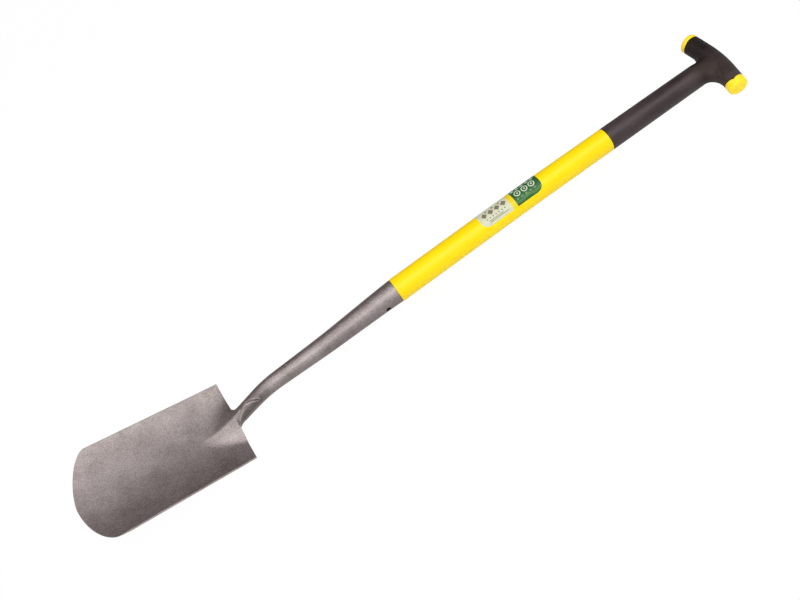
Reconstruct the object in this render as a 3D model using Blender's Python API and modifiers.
"""A digging spade: pressed steel head, jacketed glass fibre shaft and moulded T grip.

The pieces are drawn on the shaft's own axis. Its origin is the middle of the socket's
mouth, +X runs up the shaft to the grip, +Y is the spade's left and +Z its front, the
hollow side of the blade. At the end the whole spade is laid down on the floor, front up.
All sizes are in metres.
"""

import math

import bmesh
import bpy
import numpy as np
from mathutils import Matrix, Vector

# Blade, measured on its own surface from the middle of the straight top edge
BLADE_TOP_WIDTH = 0.1450
BLADE_SHOULDER_WIDTH = 0.1586
BLADE_SHOULDER_AT = 0.2109
BLADE_TIP_DEPTH = 0.0430
TIP_ROUNDNESS = 1.69
DISH_RADIUS = 0.218
BLADE_LIFT = math.radians(14.57)
SHEET = 0.0026
CUTTING_EDGE = 0.0010
CUTTING_BEVEL = 0.014

# Frog: the pressed ridge that runs from the neck down the front of the blade
FROG_LENGTH = 0.066
FROG_LEFT_WIDTH = 0.056
FROG_RIGHT_WIDTH = 0.036
FROG_TAPER = 0.60
FROG_FADE = 2.2
FROG_CREST_ROUND = 0.08
FROG_LEFT_FOOT_ROUND = 0.26
FROG_RIGHT_FOOT_ROUND = 0.08

# Neck and rolled socket
SOCKET_LENGTH = 0.3019
SOCKET_MOUTH_RADIUS = 0.0185
NECK_RADIUS = 0.0116
NECK_AT = 0.275
SOCKET_FLARE = 1.3
SOCKET_SETBACK = math.radians(2.86)
SOCKET_BEND_LENGTH = 0.040
SOCKET_STRAIGHTENS_AT = 0.105
CRANK = math.radians(19.0)
CRANK_AT = 0.2135
CRANK_BEND_LENGTH = 0.045
NECK_ABOVE_BLADE = 0.0108
NECK_FLARE = 0.0064
NECK_FLARE_LENGTH = 0.012
NECK_FACET = math.radians(60.0)
NECK_FACET_FROM = 0.46
SEAM_GAP = 0.0008
SEAM_OPENS_AT = 0.262

# Shaft
SHAFT_RADIUS = 0.0190
SHAFT_TOP_RADIUS = 0.0173
JACKET_LENGTH = 0.3815
TENON_LENGTH = 0.0935
CORE_RADIUS = 0.0110
CORE_BORE_RADIUS = 0.0065
DOWEL_LENGTH = 0.120
DOWEL_CHAMFER = 0.001
SHAFT_SETBACK = math.radians(1.29)
SHAFT_BEND_AT = 0.190
SHAFT_BEND_LENGTH = 0.080
JACKET_CHAMFER = 0.0005

# Cross pin that holds the head on the shaft
PIN_RADIUS = 0.0038
PIN_WALL = 0.0011
PIN_SLOT = 0.0014
PIN_FROM_MOUTH = 0.0247
PIN_TURN = math.radians(6.0)
PIN_RECESS = 0.0014

# T grip
BAR_AT = 0.5830
BAR_RADIUS = 0.0147
BAR_LENGTH = 0.1090
BAR_BOW = 0.0084
BAR_TURN = math.radians(2.0)
BAR_TILT = math.radians(1.4)
BAR_BORE_RADIUS = 0.0095
BAR_BORE_DEPTH = 0.030
FILLET_RADIUS = 0.0255
WEB_HALF_THICKNESS = 0.0108
RIDGE_HALF_THICKNESS = 0.0130
RIDGE_FOOT_ROUND = 0.003
BAR_FOOT_ROUND = 0.008
BAR_COVER = 0.0003
CORE_FROM_BAR = 0.0235

# End caps
CAP_RISE = 0.0052
CAP_FACE_RADIUS = 0.0085
CAP_SCALLOP = 0.0054
CAP_LOBE_FULLNESS = 0.3
CAP_SEAT = 0.0005
COLLAR = 0.0014
CAP_PLUG_WALL = 0.0016
CAP_PLUG_LENGTH = 0.018

# Clearance between pieces that touch
FIT = 0.0003

# Steps of the curved surfaces
SOCKET_COLUMNS = 14
BLADE_COLUMNS = 8
MOUTH_ROWS = 3
SOCKET_ROWS = 7
CRANK_ROWS = 8
SEAM_ROWS = 11
FROG_ROWS = 13
BLADE_ROWS = 9
BEVEL_ROWS = 3
TURNED_STEPS = 32
CORE_STEPS = 20
PIN_STEPS = 24
BAR_STEPS = 12
WEB_ROWS = 12
CAP_EDGE_STEPS = 5

BLADE_LENGTH = BLADE_SHOULDER_AT + BLADE_TIP_DEPTH
FROG_HEIGHT = NECK_ABOVE_BLADE + NECK_RADIUS
NECK_HALF_WIDTH = NECK_RADIUS + NECK_FLARE
BLADE_ALONG = Vector((-math.cos(BLADE_LIFT), 0.0, math.sin(BLADE_LIFT)))
BLADE_FRONT = Vector((math.sin(BLADE_LIFT), 0.0, math.cos(BLADE_LIFT)))
LEFT = Vector((0.0, 1.0, 0.0))
BAR_HALF = BAR_LENGTH / 2
CORE_END = BAR_AT - CORE_FROM_BAR


def ease(value):
    """Smooth step from 0 to 1."""
    value = min(max(value, 0.0), 1.0)
    return value * value * (3.0 - 2.0 * value)


def past_bend(distance, bend_length):
    """How far a line has run beyond a bend that is rounded over bend_length."""
    run = max(distance, 0.0)
    rounded = min(run, bend_length)
    return run - rounded + rounded ** 2 / (2 * bend_length)


def centre_height(x):
    """Height of the tool's centre line over the straight axis, at x along the shaft."""
    shaft = math.tan(SHAFT_SETBACK) * past_bend(x - SHAFT_BEND_AT, SHAFT_BEND_LENGTH)
    socket = past_bend(-x, SOCKET_BEND_LENGTH)
    socket -= past_bend(-x - SOCKET_STRAIGHTENS_AT, SOCKET_BEND_LENGTH)
    crank = math.tan(CRANK) * past_bend(-x - CRANK_AT, CRANK_BEND_LENGTH)
    return -shaft - math.tan(SOCKET_SETBACK) * socket - crank


def socket_radius(x):
    """Outside radius of the socket and the neck, which taper down from the mouth."""
    left = max(1.0 + x / NECK_AT, 0.0)
    return NECK_RADIUS + (SOCKET_MOUTH_RADIUS - NECK_RADIUS) * left ** SOCKET_FLARE


def shaft_radius(x):
    """Outside radius of the jacket and the grip's sleeve, slimmer towards the grip."""
    share = max(x, 0.0) / BAR_AT
    return SHAFT_RADIUS - (SHAFT_RADIUS - SHAFT_TOP_RADIUS) * share ** 2


# Shape of the pressed sheet

def blade_height(along, across):
    """Height of the blade's front over its middle line: the dish and the frog ridge.

    The ridge is a roof. Its left side runs out softly, its right side ends in a clear foot.
    """
    dish = DISH_RADIUS - math.sqrt(DISH_RADIUS ** 2 - across ** 2)
    if along >= FROG_LENGTH:
        return dish
    width, foot = FROG_LEFT_WIDTH, FROG_LEFT_FOOT_ROUND
    if across < 0.0:
        width, foot = FROG_RIGHT_WIDTH, FROG_RIGHT_FOOT_ROUND
    fading = 1.0 - along / FROG_LENGTH
    side = across / (width * fading ** FROG_TAPER)
    roof = (1.0 - math.hypot(side, FROG_CREST_ROUND)) / (1.0 - FROG_CREST_ROUND)
    roof = (roof + math.hypot(roof, foot)) / (1.0 + math.hypot(1.0, foot))
    return dish + FROG_HEIGHT * fading ** FROG_FADE * roof


def neck_centre(x):
    return Vector((x, 0.0, centre_height(x)))


BLADE_TOP = neck_centre(-SOCKET_LENGTH) - BLADE_FRONT * NECK_ABOVE_BLADE


def blade_point(along, across):
    return (BLADE_TOP + BLADE_ALONG * along + LEFT * across
            + BLADE_FRONT * blade_height(along, across))


def neck_point(x, turn):
    """A point of the rolled sheet. Turn runs from 0 at the front to -1 and 1 at the seam.

    Below the place where the seam opens, its edges spread until they stand at the neck's
    sides, which flare into the blade's top edge. There two facets grow out of its round
    front and turn into the frog's roof.
    """
    radius = socket_radius(x)
    opened = max((-x - SEAM_OPENS_AT) / (SOCKET_LENGTH - SEAM_OPENS_AT), 0.0)
    closed_angle = math.pi - SEAM_GAP / (2 * radius)
    angle = turn * (closed_angle + (math.pi / 2 - closed_angle) * ease(opened))
    from_edge = min((x + SOCKET_LENGTH) / NECK_FLARE_LENGTH, 1.0)
    flare = 1.0 - math.sqrt(1.0 - (1.0 - from_edge) ** 2)
    across = math.sin(angle)
    height = math.cos(angle)
    facet = NECK_FACET * math.sqrt(max(opened - NECK_FACET_FROM, 0.0) / (1.0 - NECK_FACET_FROM))
    if abs(angle) < facet:
        across = math.copysign(math.sin(facet) * abs(angle) / facet, angle)
        height = 1.0 - (1.0 - math.cos(facet)) * abs(angle) / facet
    across *= radius + NECK_FLARE * flare
    height *= radius
    roof_across = turn * NECK_HALF_WIDTH
    roof_height = blade_height(0.0, roof_across) - NECK_ABOVE_BLADE
    share = opened ** 6
    across += (roof_across - across) * share
    height += (roof_height - height) * share
    lean = BLADE_LIFT * opened ** 2
    front = Vector((math.sin(lean), 0.0, math.cos(lean)))
    return neck_centre(x) + LEFT * across + front * height


def steps_between(start, end, count):
    return [start + (end - start) * i / count for i in range(count)]


def shaft_stations(start, end):
    """Places along the shaft from start to end, which may run either way.

    All pieces on the shaft take them from one list, so that they bend alike.
    """
    bend_end = SHAFT_BEND_AT + SHAFT_BEND_LENGTH
    places = steps_between(-SOCKET_BEND_LENGTH, 0.0, 2) + steps_between(0.0, SHAFT_BEND_AT, 3)
    places += steps_between(SHAFT_BEND_AT, bend_end, 4) + steps_between(bend_end, BAR_AT, 5)
    low, high = min(start, end), max(start, end)
    between = sorted((x for x in places if low < x < high), reverse=start > end)
    return [start] + between + [end]


def blade_columns():
    """Places across the blade as shares of its half width, from the right edge to the left.

    The middle ones carry on the columns of the rolled neck. The outer ones crowd towards
    the edges, where the tip's outline is steep.
    """
    neck_share = 2 * NECK_HALF_WIDTH / BLADE_TOP_WIDTH
    middle = [neck_share * i / SOCKET_COLUMNS for i in range(1, SOCKET_COLUMNS + 1)]
    outer = [neck_share + (1.0 - neck_share) * math.sin(math.pi / 2 * i / BLADE_COLUMNS)
             for i in range(1, BLADE_COLUMNS + 1)]
    half = middle + outer
    return [-share for share in reversed(half)] + [0.0] + half


def blade_rows():
    """Places down the blade as shares of its length, closer together on frog and edge."""
    bevel_at = 1.0 - CUTTING_BEVEL / BLADE_LENGTH
    frog_at = FROG_LENGTH / BLADE_LENGTH
    rows = steps_between(0.0, frog_at, FROG_ROWS)
    rows += steps_between(frog_at, bevel_at, BLADE_ROWS)
    rows += steps_between(bevel_at, 1.0, BEVEL_ROWS)
    return rows + [1.0]


def blade_grid_point(row, share):
    """The point where a row and a column of the blade cross, and how far it is from the tip.

    The last row is the tip's outline, a superellipse between the two shoulders.
    """
    rounding = (1.0 - abs(share) ** TIP_ROUNDNESS) ** (1.0 / TIP_ROUNDNESS)
    reach = BLADE_SHOULDER_AT + BLADE_TIP_DEPTH * rounding
    along = row * reach
    widening = min(along / BLADE_SHOULDER_AT, 1.0)
    width = BLADE_TOP_WIDTH + (BLADE_SHOULDER_WIDTH - BLADE_TOP_WIDTH) * widening
    return blade_point(along, share * width / 2), reach - along


# Objects and materials

def clear_scene():
    for old in list(bpy.data.objects):
        bpy.data.objects.remove(old, do_unlink=True)


def make_collection(name, hidden=False):
    collection = bpy.data.collections.new(name)
    bpy.context.scene.collection.children.link(collection)
    collection.hide_render = hidden
    return collection


def make_material(name, colour, roughness, metallic):
    material = bpy.data.materials.new(name)
    material.use_nodes = True
    shader = material.node_tree.nodes["Principled BSDF"]
    shader.inputs["Base Color"].default_value = (*colour, 1.0)
    shader.inputs["Roughness"].default_value = roughness
    shader.inputs["Metallic"].default_value = metallic
    material.diffuse_color = (*colour, 1.0)
    return material


def add_object(name, mesh, material, collection, parent):
    thing = bpy.data.objects.new(name, mesh)
    collection.objects.link(thing)
    thing.parent = parent
    if material is not None:
        mesh.materials.append(material)
        mesh.shade_smooth()
        mesh.set_sharp_from_angle(angle=math.radians(35))
    return thing


def evaluated_mesh(thing):
    """The object's mesh with its modifiers or curve bevel turned into plain faces."""
    bpy.context.view_layer.update()
    depsgraph = bpy.context.evaluated_depsgraph_get()
    return bpy.data.meshes.new_from_object(thing.evaluated_get(depsgraph), depsgraph=depsgraph)


def bend_along_shaft(mesh):
    """Carry a piece that was turned on the straight axis onto the tool's centre line."""
    for vertex in mesh.vertices:
        vertex.co.z += centre_height(vertex.co.x)


def turned_mesh(name, profile, collection, steps=TURNED_STEPS):
    """A piece turned round the X axis from (x, radius) points, down its outer side."""
    mesh = bpy.data.meshes.new(name)
    points = [(x, radius, 0.0) for x, radius in profile]
    closed = profile[0][1] > 0.0
    edges = [(i, i + 1) for i in range(len(points) - 1)]
    if closed:
        edges.append((len(points) - 1, 0))
    mesh.from_pydata(points, edges, [])
    blank = bpy.data.objects.new(name + "_profile", mesh)
    collection.objects.link(blank)
    screw = blank.modifiers.new("turn", "SCREW")
    screw.axis = "X"
    screw.angle = 2 * math.pi
    screw.steps = steps
    screw.render_steps = steps
    screw.use_merge_vertices = True
    screw.merge_threshold = 0.00001
    solid = evaluated_mesh(blank)
    bpy.data.objects.remove(blank, do_unlink=True)
    return solid


def add_cut(thing, cutter, operation="DIFFERENCE"):
    cut = thing.modifiers.new(cutter.name, "BOOLEAN")
    cut.operation = operation
    cut.solver = "EXACT"
    cut.object = cutter


def add_cutter(name, mesh, collection, parent):
    cutter = add_object(name, mesh, None, collection, parent)
    cutter.hide_render = True
    cutter.display_type = "WIRE"
    return cutter


def pin_place():
    """The cross pin's own frame: +Z runs along it to the right, turned a little to the back."""
    centre = Vector((-PIN_FROM_MOUTH, 0.0, centre_height(-PIN_FROM_MOUTH)))
    return Matrix.Translation(centre) @ Matrix.Rotation(math.pi / 2 + PIN_TURN, 4, "X")


def pin_rod_mesh(name, radius, length):
    """A plain cylinder along the cross pin."""
    shape = bmesh.new()
    bmesh.ops.create_cone(shape, cap_ends=True, segments=PIN_STEPS, radius1=radius,
                          radius2=radius, depth=length, matrix=pin_place())
    mesh = bpy.data.meshes.new(name)
    shape.to_mesh(mesh)
    shape.free()
    return mesh


# Pieces

def make_head(material, collection, parent, pin_hole):
    """Blade, frog, cranked neck and rolled socket, all pressed from one sheet.

    The sheet's front is one grid of faces: rows run from the socket's mouth down to the
    blade's tip, columns run across. Only the middle columns reach up past the blade's
    straight top edge, where they curl round to the seam at the back of the socket.
    """
    shape = bmesh.new()
    thickness = shape.verts.layers.deform.verify()

    stations = steps_between(0.0, -SOCKET_BEND_LENGTH, MOUTH_ROWS)
    stations += steps_between(-SOCKET_BEND_LENGTH, -CRANK_AT, SOCKET_ROWS)
    stations += steps_between(-CRANK_AT, -SEAM_OPENS_AT, CRANK_ROWS)
    opening = SOCKET_LENGTH - SEAM_OPENS_AT
    stations += [opening * (1.0 - i / SEAM_ROWS) ** 2 - SOCKET_LENGTH for i in range(SEAM_ROWS)]
    rows = []
    for x in stations:
        turns = [i / SOCKET_COLUMNS for i in range(-SOCKET_COLUMNS, SOCKET_COLUMNS + 1)]
        row = [shape.verts.new(neck_point(x, turn)) for turn in turns]
        for vertex in row:
            vertex[thickness][0] = 1.0
        rows.append([None] * BLADE_COLUMNS + row + [None] * BLADE_COLUMNS)

    for place in blade_rows():
        row = []
        for share in blade_columns():
            point, from_tip = blade_grid_point(place, share)
            vertex = shape.verts.new(point)
            worn = min(from_tip / CUTTING_BEVEL, 1.0)
            edge_share = CUTTING_EDGE / SHEET
            vertex[thickness][0] = edge_share + (1.0 - edge_share) * worn
            row.append(vertex)
        rows.append(row)

    for upper, lower in zip(rows, rows[1:]):
        for i in range(len(upper) - 1):
            corners = (upper[i], lower[i], lower[i + 1], upper[i + 1])
            if None not in corners:
                shape.faces.new(corners)
    bmesh.ops.recalc_face_normals(shape, faces=shape.faces)
    middle = shape.faces[len(shape.faces) - 1]
    if middle.normal.z < 0.0:
        bmesh.ops.reverse_faces(shape, faces=shape.faces)

    mesh = bpy.data.meshes.new("blade_and_socket")
    shape.to_mesh(mesh)
    shape.free()
    head = add_object("blade_and_socket", mesh, material, collection, parent)
    head.vertex_groups.new(name="thickness")
    wall = head.modifiers.new("sheet", "SOLIDIFY")
    wall.thickness = SHEET
    wall.offset = -1.0
    wall.use_even_offset = True
    wall.use_quality_normals = True
    wall.vertex_group = "thickness"
    wall.thickness_vertex_group = 0.0
    add_cut(head, pin_hole)
    return head


def make_pin(material, collection, cutters, parent):
    """Slotted spring pin, driven in until both ends lie below the socket's face."""
    length = 2 * (socket_radius(-PIN_FROM_MOUTH) - PIN_RECESS)
    past = 2 * length
    pin = add_object("socket_pin", pin_rod_mesh("socket_pin", PIN_RADIUS, length),
                     material, collection, parent)
    bore = pin_rod_mesh("pin_bore", PIN_RADIUS - PIN_WALL, past)
    add_cut(pin, add_cutter("pin_bore", bore, cutters, parent))

    slot = pin_place() @ Matrix.Translation((PIN_RADIUS, 0.0, 0.0))
    slot = slot @ Matrix.Diagonal((2 * PIN_RADIUS, PIN_SLOT, past, 1.0))
    shape = bmesh.new()
    bmesh.ops.create_cube(shape, size=1.0, matrix=slot)
    slot_mesh = bpy.data.meshes.new("pin_slot")
    shape.to_mesh(slot_mesh)
    shape.free()
    add_cut(pin, add_cutter("pin_slot", slot_mesh, cutters, parent))
    return pin


def make_jacket(material, collection, parent, pin_hole):
    """Yellow jacket: a flush shaft above the socket and a tapered tenon inside it."""
    bore = CORE_RADIUS + FIT
    top = JACKET_LENGTH
    bottom = FIT
    end = -TENON_LENGTH
    profile = [(top, shaft_radius(top) - JACKET_CHAMFER)]
    for x in shaft_stations(top - JACKET_CHAMFER, bottom + JACKET_CHAMFER):
        profile.append((x, shaft_radius(x)))
    profile.append((bottom, SHAFT_RADIUS - JACKET_CHAMFER))
    for x in shaft_stations(bottom, end):
        profile.append((x, socket_radius(min(x, 0.0)) - SHEET - FIT))
    profile += [(x, bore) for x in shaft_stations(end, top)]
    mesh = turned_mesh("shaft_jacket", profile, collection)
    bend_along_shaft(mesh)
    jacket = add_object("shaft_jacket", mesh, material, collection, parent)
    add_cut(jacket, pin_hole)
    return jacket


def make_core(material, collection, parent, pin_hole):
    """Pultruded glass fibre tube that runs from the tenon's end up into the T grip."""
    places = shaft_stations(CORE_END, -TENON_LENGTH)
    profile = [(x, CORE_RADIUS) for x in places]
    profile += [(x, CORE_BORE_RADIUS) for x in reversed(places)]
    mesh = turned_mesh("shaft_core", profile, collection, steps=CORE_STEPS)
    bend_along_shaft(mesh)
    core = add_object("shaft_core", mesh, material, collection, parent)
    add_cut(core, pin_hole)
    return core


def make_dowel(material, collection, parent, pin_hole):
    """Hardwood dowel that keeps the tube from being crushed by the pin."""
    radius = CORE_BORE_RADIUS - FIT
    start = -TENON_LENGTH
    end = start + DOWEL_LENGTH
    profile = [(end, 0.0), (end, radius - DOWEL_CHAMFER)]
    profile += [(x, radius) for x in shaft_stations(end - DOWEL_CHAMFER, start + DOWEL_CHAMFER)]
    profile += [(start, radius - DOWEL_CHAMFER), (start, 0.0)]
    mesh = turned_mesh("core_dowel", profile, collection, steps=CORE_STEPS)
    bend_along_shaft(mesh)
    dowel = add_object("core_dowel", mesh, material, collection, parent)
    add_cut(dowel, pin_hole)
    return dowel


def bar_bow(y):
    """How far the T bar has dropped towards the blade, at y along it, and how steeply.

    The middle is bowed. The bored ends run on straight.
    """
    bowed = min(abs(y), BAR_HALF - BAR_BORE_DEPTH)
    slope = 2 * BAR_BOW * bowed / BAR_HALF ** 2
    drop = BAR_BOW * (bowed / BAR_HALF) ** 2 + slope * (abs(y) - bowed)
    return drop, math.copysign(slope, y)


def scallop(angle):
    """How far the cap reaches in over the bar's end, in two lobes between front and back."""
    return CAP_SCALLOP * abs(math.cos(angle)) ** CAP_LOBE_FULLNESS


def place_on_bar(mesh):
    """Carry a piece that was built on a straight Y axis onto the bowed bar.

    The bar stands a little askew on the shaft: its left end is further up and further out.
    """
    for vertex in mesh.vertices:
        drop, slope = bar_bow(vertex.co.y)
        vertex.co.y += vertex.co.x * slope
        vertex.co.x -= drop
    middle = Matrix.Translation((BAR_AT, 0.0, centre_height(BAR_AT)))
    askew = Matrix.Rotation(BAR_TILT, 4, "X") @ Matrix.Rotation(-BAR_TURN, 4, "Z")
    mesh.transform(middle @ askew)


def point_along_bar(mesh, side=1):
    """Turn a piece that was built along X to the bar's left end, or to its right with -1."""
    mesh.transform(Matrix.Rotation(side * math.pi / 2, 4, "Z"))
    place_on_bar(mesh)


def lobe_rim(mesh, rim):
    """Scallop the rings of a turned end piece that lie at its rim."""
    for vertex in mesh.vertices:
        if abs(abs(vertex.co.x) - rim) < 0.00001:
            angle = math.atan2(vertex.co.z, vertex.co.y)
            vertex.co.x -= math.copysign(scallop(angle), vertex.co.x)


def bar_mesh(collection):
    """The bar, turned straight with a lobed collar round both ends, then bowed."""
    seat = BAR_HALF - CAP_SCALLOP - CAP_SEAT
    collar = BAR_RADIUS - COLLAR
    profile = [(seat, 0.0), (seat, collar), (BAR_HALF, collar)]
    for i in range(BAR_STEPS + 1):
        profile.append((BAR_HALF * (1.0 - 2 * i / BAR_STEPS), BAR_RADIUS))
    profile += [(-BAR_HALF, collar), (-seat, collar), (-seat, 0.0)]
    mesh = turned_mesh("grip_bar", profile, collection)
    lobe_rim(mesh, BAR_HALF)
    point_along_bar(mesh)
    return mesh


def bar_bores_mesh(collection):
    """The hollows in both ends of the bar, which take the caps' plugs.

    They are turned half a facet, so that their corners don't fall on the bar's own.
    """
    pit = BAR_HALF - BAR_BORE_DEPTH
    profile = [(BAR_HALF, 0.0), (BAR_HALF, BAR_BORE_RADIUS), (pit, BAR_BORE_RADIUS), (pit, 0.0)]
    shape = bmesh.new()
    for side in (1, -1):
        bore = turned_mesh("bar_bore", profile, collection)
        bore.transform(Matrix.Rotation(math.pi / TURNED_STEPS, 4, "X"))
        point_along_bar(bore, side)
        shape.from_mesh(bore)
    mesh = bpy.data.meshes.new("bar_bores")
    shape.to_mesh(mesh)
    shape.free()
    return mesh


def bar_height(x, across, side):
    """How high the bar rises over the sleeve's middle, at its front with 1 or its back with -1.

    It is measured a little under the bar's skin, for the web to run into the bar. The second
    number says how much of a round the web takes there: all of it at the bar's lower side,
    none at its crest.
    """
    drop, _ = bar_bow(across)
    before_bar = BAR_AT - drop + across * math.tan(BAR_TURN) - x
    skin = BAR_RADIUS - BAR_COVER
    if before_bar >= skin:
        return 0.0, 0.0
    rise = centre_height(BAR_AT) - centre_height(x) + across * math.tan(BAR_TILT)
    height = math.sqrt(skin ** 2 - max(before_bar, 0.0) ** 2)
    return height + side * rise, ease(before_bar / BAR_RADIUS)


def joined(first, second, foot_round):
    """The greater of two heights, with a round where they meet."""
    step = abs(first - second)
    fill = max(foot_round - step, 0.0) ** 2 / (4 * foot_round) if foot_round > 0.0 else 0.0
    return max(first, second) + fill


def sleeve_mesh():
    """Sleeve and web: rings that stay round on the shaft and spread flat into the bar.

    The round sleeve runs on up to the bar as a ridge between the thinner webs.
    """
    start = JACKET_LENGTH + FIT
    spread_at = BAR_AT - BAR_RADIUS - FILLET_RADIUS
    end = BAR_AT - 0.002
    places = shaft_stations(start, spread_at)[:-1] + steps_between(spread_at, end, WEB_ROWS) + [end]
    shape = bmesh.new()
    rings = []
    for x in places:
        radius = shaft_radius(x)
        share = max((x - spread_at) / FILLET_RADIUS, 0.0)
        spread = FILLET_RADIUS * (1.0 - math.sqrt(max(1.0 - share * share, 0.0)))
        web_top = radius + (WEB_HALF_THICKNESS - radius) * ease(share)
        ridge_top = radius + (RIDGE_HALF_THICKNESS - radius) * ease(share)
        ring = []
        for i in range(TURNED_STEPS):
            angle = 2 * math.pi * i / TURNED_STEPS
            across = (radius + spread) * math.cos(angle)
            crown = abs(math.sin(angle))
            side = math.copysign(1.0, math.sin(angle))
            ridge = ridge_top * math.sqrt(max(1.0 - (across / radius) ** 2, 0.0))
            height = joined(web_top * crown, ridge, RIDGE_FOOT_ROUND * ease(share) * crown)
            bar, rounding = bar_height(x, across, side)
            height = joined(height, bar, BAR_FOOT_ROUND * rounding * crown)
            ring.append(shape.verts.new((x, across, centre_height(x) + side * height)))
        rings.append(ring)
    for first, second in zip(rings, rings[1:]):
        for i in range(TURNED_STEPS):
            j = (i + 1) % TURNED_STEPS
            shape.faces.new((first[i], first[j], second[j], second[i]))
    shape.faces.new(rings[0])
    shape.faces.new(rings[-1])
    bmesh.ops.recalc_face_normals(shape, faces=shape.faces)
    mesh = bpy.data.meshes.new("grip_sleeve")
    shape.to_mesh(mesh)
    shape.free()
    return mesh


def make_grip(material, collection, cutters, parent):
    """Black T grip: the sleeve and web with the bar joined on, bored out for the core."""
    grip = add_object("grip", sleeve_mesh(), material, collection, parent)
    add_cut(grip, add_cutter("grip_bar", bar_mesh(cutters), cutters, parent), "UNION")
    add_cut(grip, add_cutter("bar_bores", bar_bores_mesh(cutters), cutters, parent))
    start = JACKET_LENGTH - SHAFT_RADIUS
    end = CORE_END + FIT
    profile = [(end, 0.0)]
    profile += [(x, CORE_RADIUS + FIT) for x in shaft_stations(end, start)]
    profile.append((start, 0.0))
    bore = turned_mesh("grip_bore", profile, cutters)
    bend_along_shaft(bore)
    add_cut(grip, add_cutter("grip_bore", bore, cutters, parent))
    return grip


def make_cap(name, side, material, collection, parent):
    """Yellow end cap: a flat face with a round edge, a lobed rim and a hollow plug."""
    rim = BAR_HALF + FIT
    seat = rim - CAP_SCALLOP - CAP_SEAT
    shoulder = BAR_RADIUS - COLLAR - FIT
    plug = BAR_BORE_RADIUS - FIT
    plug_end = BAR_HALF - CAP_PLUG_LENGTH
    profile = [(rim + CAP_RISE, 0.0), (rim + CAP_RISE, CAP_FACE_RADIUS)]
    for i in range(1, CAP_EDGE_STEPS + 1):
        angle = math.pi / 2 * i / CAP_EDGE_STEPS
        radius = CAP_FACE_RADIUS + (BAR_RADIUS - CAP_FACE_RADIUS) * math.sin(angle)
        profile.append((rim + CAP_RISE * math.cos(angle), radius))
    profile += [(rim, shoulder), (seat, shoulder), (seat, plug), (plug_end, plug)]
    profile += [(plug_end, plug - CAP_PLUG_WALL), (seat, plug - CAP_PLUG_WALL), (seat, 0.0)]
    mesh = turned_mesh(name, profile, collection)
    lobe_rim(mesh, rim)
    point_along_bar(mesh, side)
    return add_object(name, mesh, material, collection, parent)


def lay_down(parent, heads, grips):
    """Tip and lift the spade so that it rests front up on the blade's heel and the bar."""
    def outline(things):
        points = []
        for thing in things:
            mesh = evaluated_mesh(thing)
            points += [(vertex.co.x, vertex.co.z) for vertex in mesh.vertices]
        return np.array(points)

    head = outline(heads)
    grip = outline(grips)
    slope = 0.0
    for _ in range(8):
        low_head = head[np.argmin(head[:, 1] - slope * head[:, 0])]
        low_grip = grip[np.argmin(grip[:, 1] - slope * grip[:, 0])]
        slope = (low_grip[1] - low_head[1]) / (low_grip[0] - low_head[0])
    tip = math.atan(slope)
    everything = np.vstack((head, grip))
    along = everything[:, 0] * math.cos(tip) + everything[:, 1] * math.sin(tip)
    height = everything[:, 1] * math.cos(tip) - everything[:, 0] * math.sin(tip)
    parent.rotation_euler = (0.0, tip, 0.0)
    parent.location = (-(along.min() + along.max()) / 2, 0.0, -height.min())


def main():
    clear_scene()
    collection = make_collection("digging_spade")
    cutters = make_collection("spade_cutters", hidden=True)
    parent = bpy.data.objects.new("shaft_axis", None)
    collection.objects.link(parent)

    steel = make_material("hammered_grey_paint", (0.33, 0.30, 0.30), 0.38, 0.55)
    pin_steel = make_material("dark_spring_steel", (0.05, 0.05, 0.05), 0.45, 0.9)
    yellow = make_material("yellow_polypropylene", (1.0, 0.74, 0.0), 0.38, 0.0)
    glass_fibre = make_material("cream_glass_fibre", (0.72, 0.66, 0.45), 0.45, 0.0)
    beech = make_material("beech", (0.60, 0.42, 0.24), 0.65, 0.0)
    black = make_material("black_grip_plastic", (0.030, 0.025, 0.025), 0.55, 0.0)
    cap_yellow = make_material("yellow_cap_plastic", (1.0, 0.80, 0.02), 0.40, 0.0)

    hole = pin_rod_mesh("pin_hole", PIN_RADIUS + FIT, 4 * SOCKET_MOUTH_RADIUS)
    pin_hole = add_cutter("pin_hole", hole, cutters, parent)

    head = make_head(steel, collection, parent, pin_hole)
    make_pin(pin_steel, collection, cutters, parent)
    make_jacket(yellow, collection, parent, pin_hole)
    make_core(glass_fibre, collection, parent, pin_hole)
    make_dowel(beech, collection, parent, pin_hole)
    grip = make_grip(black, collection, cutters, parent)
    left_cap = make_cap("cap_left", 1, cap_yellow, collection, parent)
    right_cap = make_cap("cap_right", -1, cap_yellow, collection, parent)
    lay_down(parent, [head], [grip, left_cap, right_cap])


main()
